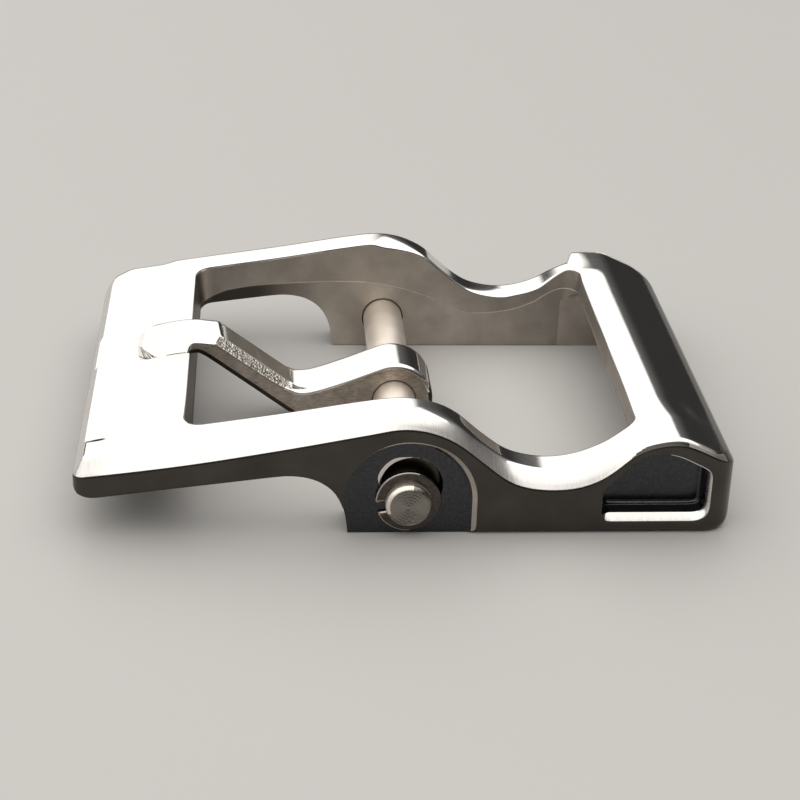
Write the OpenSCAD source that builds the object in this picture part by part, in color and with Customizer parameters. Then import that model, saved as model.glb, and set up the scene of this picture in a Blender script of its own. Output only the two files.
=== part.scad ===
/* [Strap] */
// Width between the two rails, where the strap runs
strap_gap = 40; // [38:0.5:44]
// Fillet in the four corners of the strap window, seen from above
window_r = 1.8; // [1:0.1:3]

/* [Frame] */
// Width of one side rail, seen from above
rail_w = 4.5; // [4.4:0.1:6]
// How far the rail's lower wall stands into the window, inside its top edge
wall_lean = 0.3; // [0.1:0.05:0.5]
// Drop of the rail's inner top edge below its top face
inner_round = 0.2; // [0.1:0.05:0.3]
// Radius of the two front corners, seen from above
front_corner_r = 1.4; // [0.6:0.1:3]
// Radius of the two rear corners, seen from above
rear_corner_r = 3; // [1:0.1:4]
// Distance from the axle to the inner face of the front bar
front_bar_x = 21.4; // [20:0.1:23]
// Distance from the axle to the inner face of the keeper bar
keeper_x = 22.7; // [21.5:0.1:24]
// Thickness of the keeper bar, measured straight down
keeper_t = 2.3; // [1.8:0.1:3]
// How far the top of the front bar lies below the top of the rails
bar_step = 0.24; // [0.15:0.01:0.4]

/* [Axle] */
// Height of the axle above the surface that the buckle lies on
axle_z = 3.65; // [3.5:0.05:4]
// Radius of the axle
axle_r = 2.25; // [1.8:0.05:2.3]
// Gap between the axle and the holes in the frame, on the radius
seat_gap = 0.03; // [0.02:0.01:0.08]
// Distance from the middle of the buckle to either end of the axle
axle_end = 25.6; // [25.2:0.1:27]
// Bevel on the near end of the axle
axle_bevel = 0.3; // [0.1:0.05:0.5]
// Radius of the low head on the far end of the axle
head_r = 3.3; // [2.8:0.1:3.6]

/* [Retaining clip] */
// Outer radius of the clip
clip_r = 3.2; // [2.8:0.1:3.5]
// Thickness of the clip
clip_t = 0.4; // [0.3:0.05:0.6]
// Width of the clip's mouth
clip_mouth = 1.1; // [0.8:0.1:1.6]
// Angle of the mouth below the front of the buckle
clip_turn = 12; // [0:1:40]

/* [Prong] */
// Width of the prong
prong_w = 6.1; // [5:0.1:6.4]
// How far the prong and its groove sit from the middle, towards the far rail
prong_y = 0.7; // [0:0.1:1.5]
// Outer radius of the eye round the axle
eye_r = 4.15; // [3.8:0.05:4.4]
// Running gap between the eye and the axle, on the radius
eye_gap = 0.06; // [0.03:0.01:0.1]
// Depth of the groove that the tip rests in
groove_deep = 0.45; // [0.3:0.05:0.8]
// Clearance on each side of the tip in its groove
groove_side = 0.5; // [0.3:0.1:1]

/* [Side recesses and pockets] */
// Radius of the recess round each end of the axle
recess_r = 6.4; // [6:0.1:6.8]
// Depth of that recess
recess_deep = 0.45; // [0.3:0.05:0.7]
// Radius of the deeper relief above the clip
relief_r = 3.3; // [3:0.1:3.6]
// Depth of the relief below the floor of the recess
relief_deep = 1.2; // [0.8:0.1:1.6]
// Height of the centre of the relief above the axle
relief_up = 1.25; // [0.8:0.05:1.5]
// Depth of the blind pocket near each rear corner
pocket_deep = 2.8; // [2:0.1:3]

/* [Hidden] */

steel = [0.80, 0.79, 0.77];
worn_steel = [0.70, 0.67, 0.63];

half_in = strap_gap / 2;
half_wall = half_in - wall_lean;
half_out = half_in + rail_w;
end_x = 32.1;
end_r = 2.6;
recess_y = half_out - recess_deep;
pocket_r = 1;
clip_bite = 0.4;
eye_flat = 0.35;
arm_end = -1.4;
tip_lift = 0.05;

fine = 48;
// Gap between fitted pieces that don't turn
small_gap = 0.05;
clip_y = -recess_y - small_gap - clip_t;
// How far a shape reaches past a face that it cuts or joins
past = 1;
// How far the two bars reach into the window before it is cut
bar_lap = 2.5;
// A height over everything
above = 15;

// Columns: x, height of the top face, height of its outer edge, width of the outer bevel
TOP = [
    [-end_x, 7.95, 6.45, 1.1],
    [-21.5, 9.65, 7.85, 1.1],
    [-12, 11.10, 9.50, 1.1],
    [-4, 12.45, 10.93, 1.1],
    [-0.7, 12.80, 11.38, 1.1],
    [2, 12.45, 10.98, 1.2],
    [4.5, 11.35, 9.85, 1.5],
    [7, 9.20, 7.85, 1.7],
    [9.5, 7.35, 5.85, 1.7],
    [11.5, 6.65, 5.03, 1.5],
    [14, 6.35, 4.75, 1.3],
    [16.5, 6.70, 4.98, 1.2],
    [18.5, 7.45, 5.75, 1.1],
    [20, 8.25, 6.85, 1.0],
    [22, 9.15, 8.70, 0.8],
    [23.5, 9.70, 9.35, 0.6],
    [25.5, 10.10, 9.65, 0.6],
    [27, 10.00, 9.45, 0.6],
    [30, 8.60, 8.05, 0.6],
    [end_x, 7.40, 6.85, 0.6]
];
// Columns: x, height of the faint line that divides the rail's inner wall
WALL = [
    [-end_x, 6.2],
    [-12.4, 7.8],
    [-5, 8.15],
    [0, 7.8],
    [5.5, 6.2],
    [9.5, 4.45],
    [14, 4.45],
    [17.4, 5.5],
    [20.2, 7.4],
    [end_x, 6.2]
];
// Columns: distance from the front end, height; from the top down to the hollow
FRONT_END = [
    [1, above],
    [1, 7.9],
    [0.3, 7.25],
    [0, 6.3],
    [0, 5.3],
    [0.3, 4.6],
    [1.2, 4.0]
];
// Columns: distance from the rear end, height; from the heel up
REAR_END = [
    [0, 6.2],
    [0.5, 7.2],
    [1.6, 8.2],
    [1.6, above]
];
// Columns: x, height of the hollow under the front half
HOLLOW = [
    [-13, 6.35],
    [-11.3, 6.45],
    [-9.6, 6.20],
    [-8.3, 5.62],
    [-7.2, 4.65],
    [-6.5, 3.40],
    [-6.05, 1.90],
    [-5.8, 0]
];
// Columns: x, thickness of the keeper bar there beyond its thinnest
KEEPER = [
    [keeper_x, 0],
    [26.5, 0.5],
    [end_x, 0.4]
];
// Columns: x, height of the upper outline of the pocket
POCKET = [
    [18.9, 4.5],
    [19.6, 5.3],
    [21.6, 7.6],
    [22.5, 8.2],
    [23.6, 8.4],
    [25.4, 8.3],
    [28.2, 7.1],
    [29.1, 6.4],
    [29.5, 5.4]
];
pocket_z = 1.45;
// Columns: x, height above the surface, both of the prong's outline as it lies in its groove
PRONG_TOP = [
    [-26.9, 9.20],
    [-26.2, 9.60],
    [-24.5, 10.05],
    [-22.3, 10.45],
    [-20.8, 10.50],
    [-19.3, 10.35],
    [-18.5, 10.00],
    [-11.2, 4.75],
    [-10.4, 4.68],
    [-8.6, 4.95],
    [-5, 6.10],
    [-2.8, 6.90]
];
PRONG_UNDER = [
    [-5, 0.85],
    [-9.5, 1.40],
    [-10.9, 1.95],
    [-19, 8.02],
    [-20, 8.74]
];

// Columns: x, distance from the side of the prong; the cut corners of its tip, seen from above
TIP_PLAN = [
    [-27.1, 1.85],
    [-26.2, 0.5],
    [-25.2, 0]
];

// Slope of a table's column at row i, from the rows on either side of it
function slope(tab, i, c) =
    let (a = max(i - 1, 0), b = min(i + 1, len(tab) - 1))
    (tab[b][c] - tab[a][c]) / (tab[b][0] - tab[a][0]);
// Row that x lies after
function row_of(tab, x) =
    let (hits = [for (i = [0 : len(tab) - 2]) if (tab[i][0] <= x) i])
    len(hits) == 0 ? 0 : hits[len(hits) - 1];
// Smooth cubic curve through a column of a table
function smooth(tab, x, c) =
    let (
        i = row_of(tab, x),
        w = tab[i + 1][0] - tab[i][0],
        t = min(max((x - tab[i][0]) / w, 0), 1),
        s = 1 - t
    )
    tab[i][c] * (1 + 2 * t) * s * s
    + slope(tab, i, c) * w * t * s * s
    + tab[i + 1][c] * (1 + 2 * s) * t * t
    - slope(tab, i + 1, c) * w * s * t * t;
// Points of an arc, angles in degrees
function arc(cx, cy, r, a0, a1, n = 6) =
    [for (k = [0 : n]) let (a = a0 + (a1 - a0) * k / n) [cx + r * cos(a), cy + r * sin(a)]];
// Rectangle with its own radius at the left and the right corners
function round_box(x0, x1, y, r0, r1) = concat(
    arc(x0 + r0, -y + r0, r0, 180, 270),
    arc(x1 - r1, -y + r1, r1, 270, 360),
    arc(x1 - r1, y - r1, r1, 0, 90),
    arc(x0 + r0, y - r0, r0, 90, 180)
);
// Height of the top of the front bar
function bar_top(x) = smooth(TOP, x, 1) - bar_step;
// Height of the floor of its groove, a straight line from end to end
function groove_floor(x) =
    let (z0 = bar_top(-end_x), z1 = bar_top(-front_bar_x))
    z0 + (z1 - z0) * (x + end_x) / (end_x - front_bar_x) - groove_deep;
// Underside of the keeper bar, as x and height, level where the window will cut it off
keeper_inner = smooth(TOP, keeper_x, 1) - keeper_t;
keeper_line = concat(
    [[keeper_x - bar_lap, keeper_inner]],
    [for (row = KEEPER) [row[0], smooth(TOP, row[0], 1) - keeper_t - row[1]]]
);

// Extrudes a side outline, given as x and height, between two y values
module side_prism(y0, y1) {
    translate([0, y1, 0])
        rotate([90, 0, 0])
            linear_extrude(y1 - y0)
                children();
}

// A bar along Y with a round section
module rod(r, y0, y1, z = axle_z) {
    translate([0, y1, z])
        rotate([90, 0, 0])
            cylinder(r = r, h = y1 - y0, $fn = fine);
}

// One rail from end to end, as sections across X joined by a skin; it is cut to its outline later
module rail() {
    xs = concat(
        [for (x = [-end_x : 4 : -13]) x],
        [for (x = [-9 : 2 : -1]) x],
        [for (x = [0 : 1 : 31]) x],
        [end_x]
    );
    sections = [for (x = xs) let (
        top = smooth(TOP, x, 1),
        edge = smooth(TOP, x, 2),
        bevel = smooth(TOP, x, 3)
    ) [
        [x, half_wall, -past],
        [x, half_wall, smooth(WALL, x, 1)],
        [x, half_in, top - inner_round],
        [x, half_in + 2 * inner_round, top],
        [x, half_out - bevel, top],
        [x, half_out - bevel / 3, (top + 2 * edge) / 3 + bevel * 0.2],
        [x, half_out, edge],
        [x, half_out, -past]
    ]];
    k = len(sections[0]);
    n = len(sections);
    skin = [for (i = [0 : n - 2]) for (j = [0 : k - 1]) let (
        a = i * k + j,
        b = i * k + (j + 1) % k
    ) each [[a, b, b + k], [a, b + k, a + k]]];
    caps = [[for (j = [k - 1 : -1 : 0]) j], [for (j = [0 : k - 1]) (n - 1) * k + j]];
    polyhedron(points = [for (section = sections) each section], faces = concat(skin, caps));
}

// Side outline of the whole frame: front end, hollow, flat feet, rear end
module frame_side() {
    polygon(concat(
        [for (row = FRONT_END) [row[0] - end_x, row[1]]],
        HOLLOW,
        arc(end_x - end_r, end_r, end_r, 270, 360),
        [for (row = REAR_END) [end_x - row[0], row[1]]]
    ));
}

// Front bar, thick and flat, that the tip of the prong rests on
module front_bar() {
    x1 = -front_bar_x + bar_lap;
    side_prism(-half_in - past, half_in + past)
        polygon([
            [-end_x, 0],
            [-end_x, bar_top(-end_x)],
            [x1, bar_top(x1)],
            [x1, 0]
        ]);
}

// Keeper bar, a thin arched plate with the free end of the strap under it
module keeper_bar() {
    side_prism(-half_in - past, half_in + past)
        polygon(concat(
            [for (x = [keeper_x - bar_lap : 0.8 : end_x]) [x, smooth(TOP, x, 1)]],
            [[end_x, smooth(TOP, end_x, 1)]],
            [for (i = [len(keeper_line) - 1 : -1 : 0]) keeper_line[i]]
        ));
}

// Window between the rails, cut down through both bars
module window() {
    translate([0, 0, -past])
        linear_extrude(above + past)
            polygon(round_box(-front_bar_x, keeper_x, half_wall, window_r, window_r));
}

// Shallow groove along the front bar under the tip of the prong
module groove() {
    w = prong_w / 2 + groove_side;
    side_prism(prong_y - w, prong_y + w)
        polygon([
            [-end_x - past, groove_floor(-end_x - past)],
            [-front_bar_x + past, groove_floor(-front_bar_x + past)],
            [-front_bar_x + past, above],
            [-end_x - past, above]
        ]);
}

// Recess round one end of the axle, open downwards, with the deeper relief above the clip
module recess() {
    rod(recess_r, recess_y, half_out + past);
    translate([-recess_r, recess_y, -past])
        cube([2 * recess_r, recess_deep + past, axle_z + past]);
    rod(relief_r, recess_y - relief_deep, half_out, axle_z + relief_up);
}

// Blind pocket near one rear corner; its outline follows the rail above it
module pocket() {
    x0 = POCKET[0][0] + pocket_r;
    x1 = POCKET[len(POCKET) - 1][0] - pocket_r;
    z = pocket_z + pocket_r;
    side_prism(half_out - pocket_deep, half_out + past)
        polygon(concat(arc(x0, z, pocket_r, 270, 180), POCKET, arc(x1, z, pocket_r, 0, -90)));
}

module frame() {
    color(steel)
        difference() {
            intersection() {
                union() {
                    rail();
                    mirror([0, 1, 0]) rail();
                    front_bar();
                    keeper_bar();
                }
                side_prism(-half_out - past, half_out + past) frame_side();
                translate([0, 0, -past])
                    linear_extrude(above)
                        polygon(round_box(-end_x, end_x, half_out, front_corner_r, rear_corner_r));
            }
            window();
            groove();
            recess();
            mirror([0, 1, 0]) recess();
            pocket();
            mirror([0, 1, 0]) pocket();
            rod(axle_r + seat_gap, -half_out - past, half_out + past);
        }
}

// Plain rod with a turned groove for the clip at the near end and a low head at the far end
module axle() {
    groove_r = axle_r - clip_bite - small_gap;
    groove_y0 = clip_y - small_gap;
    groove_y1 = clip_y + clip_t + small_gap;
    head_y = recess_y + small_gap;
    color(worn_steel)
        translate([0, 0, axle_z])
            rotate([-90, 0, 0])
                rotate_extrude($fn = fine)
                    polygon([
                        [0, -axle_end],
                        [axle_r - axle_bevel, -axle_end],
                        [axle_r, -axle_end + axle_bevel],
                        [axle_r, groove_y0],
                        [groove_r, groove_y0],
                        [groove_r, groove_y1],
                        [axle_r, groove_y1],
                        [axle_r, head_y],
                        [head_r, head_y],
                        [head_r, axle_end - axle_bevel],
                        [head_r - axle_bevel, axle_end],
                        [0, axle_end]
                    ]);
}

// Flat open ring that snaps into the groove of the axle
module retaining_clip() {
    color(worn_steel)
        difference() {
            rod(clip_r, clip_y, clip_y + clip_t);
            rod(axle_r - clip_bite, clip_y - past, clip_y + clip_t + past);
            translate([0, clip_y - past, axle_z])
                rotate([0, -clip_turn, 0])
                    translate([-2 * clip_r, 0, -clip_mouth / 2])
                        cube([2 * clip_r, clip_t + 2 * past, clip_mouth]);
        }
}

// Cranked bar with an eye round the axle; its flat tip lies in the groove of the front bar
module prong() {
    y0 = prong_y - prong_w / 2;
    y1 = prong_y + prong_w / 2;
    tip = [for (x = [-20.7, -26.7]) [x, groove_floor(x) + tip_lift]];
    near = [for (row = TIP_PLAN) [row[0], y0 + row[1]]];
    far = [for (i = [len(TIP_PLAN) - 1 : -1 : 0]) [TIP_PLAN[i][0], y1 - TIP_PLAN[i][1]]];
    color(steel)
        difference() {
            intersection() {
                union() {
                    side_prism(y0, y1)
                        polygon(concat(
                            PRONG_TOP,
                            [[arm_end, axle_z + eye_r * 0.9], [0, axle_z], [arm_end, eye_flat]],
                            PRONG_UNDER,
                            tip
                        ));
                    rod(eye_r, y0, y1);
                }
                translate([0, 0, eye_flat])
                    linear_extrude(above)
                        polygon(concat(near, [[eye_r + past, y0], [eye_r + past, y1]], far));
            }
            rod(axle_r + eye_gap, y0 - past, y1 + past);
        }
}

frame();
axle();
retaining_clip();
prong();
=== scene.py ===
import math

import bmesh
import bpy
import numpy as np
from mathutils import Matrix


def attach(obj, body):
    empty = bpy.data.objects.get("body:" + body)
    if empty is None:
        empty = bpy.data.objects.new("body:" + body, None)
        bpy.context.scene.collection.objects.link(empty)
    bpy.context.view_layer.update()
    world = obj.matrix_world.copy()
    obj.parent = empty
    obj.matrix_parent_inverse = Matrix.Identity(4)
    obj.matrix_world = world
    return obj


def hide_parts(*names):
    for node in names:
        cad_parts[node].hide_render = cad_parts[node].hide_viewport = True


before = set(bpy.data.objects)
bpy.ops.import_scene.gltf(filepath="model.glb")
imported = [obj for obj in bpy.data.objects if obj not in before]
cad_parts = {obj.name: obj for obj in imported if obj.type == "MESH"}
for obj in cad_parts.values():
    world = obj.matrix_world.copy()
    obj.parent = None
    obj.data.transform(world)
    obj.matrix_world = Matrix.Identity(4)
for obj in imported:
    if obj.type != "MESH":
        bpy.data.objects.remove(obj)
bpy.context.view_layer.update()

# The frame: one solid piece of stainless steel, cast, machined and then polished on its upper faces.
# Two side rails with an S-shaped top carry a wide front bar and a thin arched keeper bar, and the
# axle sits in a bore through both rails. Sizes are millimetres, x along the strap, y along the axle.
MM = 0.001
INNER_WALL = 19.7
SIDE_FACE = 24.5
FRONT_BAR_X = -21.4
KEEPER_X = 22.7
END_X = 32.1
WINDOW_R = 1.8
FRONT_CORNER_R = 1.4
REAR_CORNER_R = 3.0
AXLE_Z = 3.65
AXLE_R = 2.25

# Columns: x, height of the top face, height of its outer edge, width of the outer bevel
TOP = np.array([
    (-36.0, 7.35, 5.57, 1.1), (-32.1, 7.95, 6.17, 1.1), (-21.5, 9.65, 7.57, 1.1),
    (-12.0, 11.10, 9.22, 1.1), (-4.0, 12.45, 10.78, 1.1), (-0.7, 12.80, 11.35, 1.1),
    (2.0, 12.45, 10.98, 1.2), (4.5, 11.35, 9.85, 1.5), (7.0, 9.20, 7.85, 1.7),
    (9.5, 7.35, 5.85, 1.7), (11.5, 6.65, 5.03, 1.5), (14.0, 6.35, 4.75, 1.3),
    (16.5, 6.70, 4.98, 1.2), (18.5, 7.45, 5.75, 1.1), (20.0, 8.25, 6.85, 1.0),
    (22.0, 9.15, 8.70, 0.8), (23.5, 9.70, 9.35, 0.6), (25.5, 10.10, 9.65, 0.6),
    (27.0, 10.00, 9.45, 0.6), (30.0, 8.60, 8.05, 0.6), (32.1, 7.40, 6.85, 0.6),
    (35.0, 5.90, 5.35, 0.6)])
# Columns: x, height of the faint crease along the inner wall of a rail
CREASE = np.array([
    (-36.0, 5.2), (-21.4, 5.6), (-18.0, 7.0), (-12.4, 7.8), (-5.0, 8.15), (0.0, 7.8), (5.5, 6.2),
    (9.5, 4.45), (14.0, 4.45), (17.4, 5.5), (20.2, 7.2), (22.7, 7.4), (36.0, 7.4)])
# Columns: y, height that the keeper bar's inner edge gains on the rails, uneven from hand polishing
KEEPER_LIP = np.array([
    (-25.0, 0.0), (-21.0, 0.0), (-19.5, 0.18), (-17.5, 0.20), (-14.0, 0.33), (-10.0, 0.36), (-5.0, 0.27),
    (1.0, 0.26), (7.0, 0.14), (13.5, 0.12), (17.0, 0.14), (19.5, 0.0), (25.0, 0.08)])
# Columns: x, height that the far rear corner gains on the near one, width that its bevel gains
FAR_CORNER = np.array([
    (17.5, 0.0, 0.0), (18.4, 0.05, 0.1), (19.5, 0.40, 0.7), (20.5, 0.72, 1.5), (21.3, 0.86, 2.0),
    (22.0, 0.73, 2.1), (22.6, 0.58, 2.1), (23.1, 0.47, 2.1), (24.0, 0.27, 2.1), (25.2, 0.04, 2.1),
    (26.0, 0.0, 2.1)])
# Columns: x, height of the hollow under the front half
HOLLOW = np.array([
    (-34.0, 6.9), (-32.6, 5.9), (-32.05, 5.0), (-31.5, 4.4), (-30.6, 4.05), (-29.0, 4.15), (-21.5, 5.20),
    (-13.0, 6.35), (-11.3, 6.45), (-9.6, 6.20), (-8.3, 5.62), (-7.2, 4.65), (-6.5, 3.40), (-6.05, 1.90),
    (-5.8, 0.0), (-5.6, -1.5)])


def smooth(table, x, column):
    """Cubic curve through a column of a table. Each row's slope is that of the chord between its two
    neighbours, and between two rows the curve is the cubic that has those heights and slopes."""
    at, value = table[:, 0], table[:, column]
    row = np.arange(len(at))
    before, after = np.maximum(row - 1, 0), np.minimum(row + 1, len(at) - 1)
    slope = (value[after] - value[before]) / (at[after] - at[before])
    i = np.clip(np.searchsorted(at, x, side="right") - 1, 0, len(at) - 2)
    width = at[i + 1] - at[i]
    t = np.clip((x - at[i]) / width, 0, 1)
    s = 1 - t
    return (value[i] * (1 + 2 * t) * s ** 2 + slope[i] * width * t * s ** 2
            + value[i + 1] * (1 + 2 * s) * t ** 2 - slope[i + 1] * width * s * t ** 2)


def polished(table, x, column):
    """The same curve as a polishing wheel leaves it: its mean under a bell curve 0.45 mm wide."""
    offset = np.linspace(-1.1, 1.1, 15)
    weight = np.exp(-0.5 * (offset / 0.45) ** 2)
    x = np.asarray(x, float)
    return sum(w * smooth(table, x + o, column) for o, w in zip(offset, weight)) / weight.sum()


def ease(x, low, high):
    """0 below low, 1 above high, with a smooth step between them."""
    t = np.clip((x - low) / (high - low), 0, 1)
    return t * t * (3 - 2 * t)


def turn(cx, cy, r, a0, a1, n):
    """Points of an arc and its outward normals, angles in degrees."""
    a = np.radians(np.linspace(a0, a1, n))
    out = np.stack([np.cos(a), np.sin(a)], 1)
    return np.array([cx, cy]) + r * out, out


def run(p0, p1, normal, n):
    """Evenly spaced points from p0 to p1, all with the same normal."""
    t = np.linspace(0, 1, n)[:, None]
    return np.array(p0) * (1 - t) + np.array(p1) * t, np.tile(np.array(normal, float), (n, 1))


def stations():
    """Plan of the frame as a ring: where each section meets the window, where it meets the outside, and
    the directions from there into the metal. One half is walked from the front bar to the keeper, then
    mirrored."""
    y_in = -INNER_WALL + WINDOW_R
    x_front, x_rear = FRONT_BAR_X + WINDOW_R, KEEPER_X - WINDOW_R
    xf, xr = -END_X + FRONT_CORNER_R, END_X - REAR_CORNER_R
    bar = run((-END_X, 0), (-END_X, y_in), (1, 0), 30)
    corner_a = [run((-END_X, y_in), (-END_X, -SIDE_FACE + FRONT_CORNER_R), (1, 0), 14),
                turn(xf, -SIDE_FACE + FRONT_CORNER_R, FRONT_CORNER_R, 180, 270, 14),
                run((xf, -SIDE_FACE), (x_front, -SIDE_FACE), (0, 1), 16)]
    corner_b = [run((x_rear, -SIDE_FACE), (xr, -SIDE_FACE), (0, 1), 46),
                turn(xr, -SIDE_FACE + REAR_CORNER_R, REAR_CORNER_R, 270, 360, 24),
                run((END_X, -SIDE_FACE + REAR_CORNER_R), (END_X, y_in), (-1, 0), 10)]
    for group in (corner_a, corner_b):
        group[1] = (group[1][0], -group[1][1])
    rail = run((x_front, -SIDE_FACE), (x_rear, -SIDE_FACE), (0, 1), 110)
    keeper = run((END_X, y_in), (END_X, 0), (-1, 0), 30)
    fan_a = np.concatenate([g[0][1:] for g in corner_a]), np.concatenate([g[1][1:] for g in corner_a])
    fan_b = np.concatenate([g[0][1:] for g in corner_b]), np.concatenate([g[1][1:] for g in corner_b])
    outer = [bar, fan_a, (rail[0][1:], rail[1][1:]), fan_b, (keeper[0][1:], keeper[1][1:])]
    inner = [run((FRONT_BAR_X, 0), (FRONT_BAR_X, y_in), (-1, 0), 30),
             turn(x_front, y_in, WINDOW_R, 180, 270, len(fan_a[0]) + 1),
             run((x_front, -INNER_WALL), (x_rear, -INNER_WALL), (0, -1), 110),
             turn(x_rear, y_in, WINDOW_R, 270, 360, len(fan_b[0]) + 1),
             run((KEEPER_X, y_in), (KEEPER_X, 0), (1, 0), 30)]
    inner = [inner[0]] + [(p[1:], q[1:]) for p, q in inner[1:]]
    half = [np.concatenate([g[k] for g in group]) for group in (inner, outer) for k in (0, 1)]
    flip = np.array([1, -1])
    return [np.concatenate([h, h[-2:0:-1] * flip]) for h in half]


def bend(p0, p1, p2, n):
    """Rounded corner at p1 from p0 to p2: the quadratic curve that those three control points give."""
    return [p0 * (1 - t) ** 2 + p1 * 2 * t * (1 - t) + p2 * t * t for t in np.linspace(0, 1, n)]


def quads_between(m, n, closed=False):
    """Quads between m rows of n points, where each row closes on itself. When closed, the last row also
    joins the first."""
    i, j = np.meshgrid(np.arange(m if closed else m - 1), np.arange(n), indexing="ij")
    i1, j1 = (i + 1) % m, (j + 1) % n
    return np.stack([i * n + j, i * n + j1, i1 * n + j1, i1 * n + j], -1).reshape(-1, 4)


inner, into_inner, outer, into_outer = stations()

# The far front corner is worn rounder in plan than the near one
FAR_FRONT_R = 3.6
from_centre = outer - (-END_X + FAR_FRONT_R, SIDE_FACE - FAR_FRONT_R)
reach = np.linalg.norm(from_centre, axis=1)
beyond = (from_centre[:, 0] < 0) & (from_centre[:, 1] > 0) & (reach > FAR_FRONT_R)
outer[beyond] += from_centre[beyond] * (FAR_FRONT_R / reach[beyond, None] - 1)
into_outer[beyond] = -from_centre[beyond] / reach[beyond, None]


def ring_row(start, into, offset, height):
    """Row of points at a plan distance from the ring's start, each at start + offset * into. The height
    is a number, one for each point, or a function of x and y."""
    plan = start + into * np.reshape(offset, (-1, 1))
    z = height(*plan.T) if callable(height) else np.broadcast_to(height, len(plan))
    return np.column_stack([plan, z])


def from_window(offset, height):
    """Row at a plan distance from the window's edge."""
    return ring_row(inner, into_inner, offset, height)


def from_outside(offset, height):
    """Row at a plan distance from the outside."""
    return ring_row(outer, into_outer, offset, height)


def top_face(x, y=-SIDE_FACE):
    """Height of the polished top: the rails' profile, what the keeper's inner edge and the far rear
    corner gain on it, and the little that the keeper's crown loses behind its crest."""
    lip_gain = smooth(KEEPER_LIP, y, 1) * ease(x, 20.3, 22.0) * (1 - ease(x, 22.4, 25.0))
    corner_gain = smooth(FAR_CORNER, x, 1) * ease(y, 15.5, 19.4)
    crown_loss = 0.25 * ease(x, 25.0, 27.6) * (1 - ease(x, 28.4, 31.65)) * ease(y, -19.0, -13.0)
    return polished(TOP, x, 1) + lip_gain + corner_gain - crown_loss


# Inner wall: how far it stands off the window's edge below and above the crease, and how deep and how
# wide its upper edge is rounded, far wider past the far rail's crest and in its valley
inner_x, on_far = inner[:, 0], inner[:, 1] > 0
on_front, rear_end = ease(-inner_x, 20.2, 21.4), ease(inner_x, 19.4, 21.4)
low, high = -0.3 * on_front, 0.3 - 0.1 * on_front - 0.28 * rear_end
far_crest = ease(inner_x, -1.5, 0.3) * (1 - ease(inner_x, 1.0, 5.5)) * on_far
far_valley = ease(inner_x, 8.5, 13.0) * (1 - ease(inner_x, 13.5, 15.5)) * on_far
edge_drop = 0.32 - 0.20 * rear_end + 0.35 * far_crest
edge_r = 0.32 - 0.20 * rear_end + 2.4 * far_crest + 1.8 * far_valley
crease = smooth(CREASE, inner_x, 1)
top_in = top_face(*(inner + into_inner * high[:, None]).T)
wall = [from_window(low + 0.2, 0.0), from_window(low + 0.06, 0.06), from_window(low, 0.2),
        from_window(low, crease - 0.04), from_window(low + 0.05, crease + 0.03),
        from_window(low + 0.05 + (high - low - 0.05) * 0.12 / np.maximum(top_in - crease, 1),
                    crease + 0.15)]
lip = bend(from_window(high, top_in - edge_drop), from_window(high, top_in),
           from_window(high + edge_r, top_face), 10)

# Outer bevel: its width and the height of its lower edge. It is wider at the far front corner, ground
# wide at the far rear one, where it then all but ends, and wide and flat along the front half of the
# near rail.
edge_x = np.clip(outer[:, 0], -END_X, END_X)
far_side, near_side = ease(outer[:, 1], 20, 23), ease(-outer[:, 1], 20, 23)
far_end = far_side * ease(edge_x, 22.1, 22.45) * (1 - ease(edge_x, 25.5, 28.0))
ground = polished(TOP, edge_x, 3) + smooth(FAR_CORNER, edge_x, 2) * far_side * (edge_x < 26)
far_front = far_side * (1 - ease(edge_x, -25.4, -24.0))
near_front = near_side * (1 - ease(edge_x, -5.0, -0.7))
bevel = ground * (1 - far_end) + 0.25 * far_end + 0.5 * ease(edge_x, 29.5, 31.8) + 0.7 * far_front
bevel += 0.6 * near_front * ease(edge_x, -30.6, -27.5)
edge_z = polished(TOP, edge_x, 2) * (1 - far_end) + (top_face(edge_x, outer[:, 1]) - 0.15) * far_end

# Top, from the inner edge to the bevel. It runs into the bevel softly past the near rail's crest and
# sharply on the steep part of the far rail.
near_crest = ease(inner_x, -1.0, 1.5) * (1 - ease(inner_x, 4.5, 7.5)) * (outer[:, 1] < 0)
steep_far = ease(edge_x, 3.0, 5.0) * (1 - ease(edge_x, 10.0, 12.5)) * (outer[:, 1] > 0)
inside = from_window(high + edge_r, top_face)
outside = from_outside(bevel + 0.3 - 0.24 * steep_far + 1.2 * near_crest, top_face)
across = []
for t in np.linspace(0, 1, 26)[1:-1]:
    row = inside * (1 - t) + outside * t
    row[:, 2] = top_face(row[:, 0], row[:, 1])
    across.append(row)
rim = from_outside(bevel, top_face)
side = from_outside(0, edge_z)
length = np.linalg.norm(rim - side, axis=1)[:, None]
upper = rim + (side - rim) * np.minimum(0.3 / length, 0.3) * (1 - 0.8 * steep_far[:, None])
lower = side + (rim - side) * np.minimum(0.2 / length, 0.4)
shoulder = bend(outside, rim, upper, 6)
slope = []
for t in np.linspace(0, 1, 6)[1:-1]:
    row = upper * (1 - t) + lower * t
    row[:, 2] += 0.10 * (1 - near_front) * 4 * t * (1 - t)
    slope.append(row)
edge = bend(lower, side, from_outside(0, edge_z - 0.2), 6)
foot = bend(from_outside(0, 0.9), from_outside(0, 0.0), from_outside(0.9, 0.0), 6)
rows = wall + lip[:-1] + [inside] + across + shoulder + slope + edge + foot
verts, quads = np.concatenate(rows), quads_between(len(rows), len(inner), closed=True)

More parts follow.
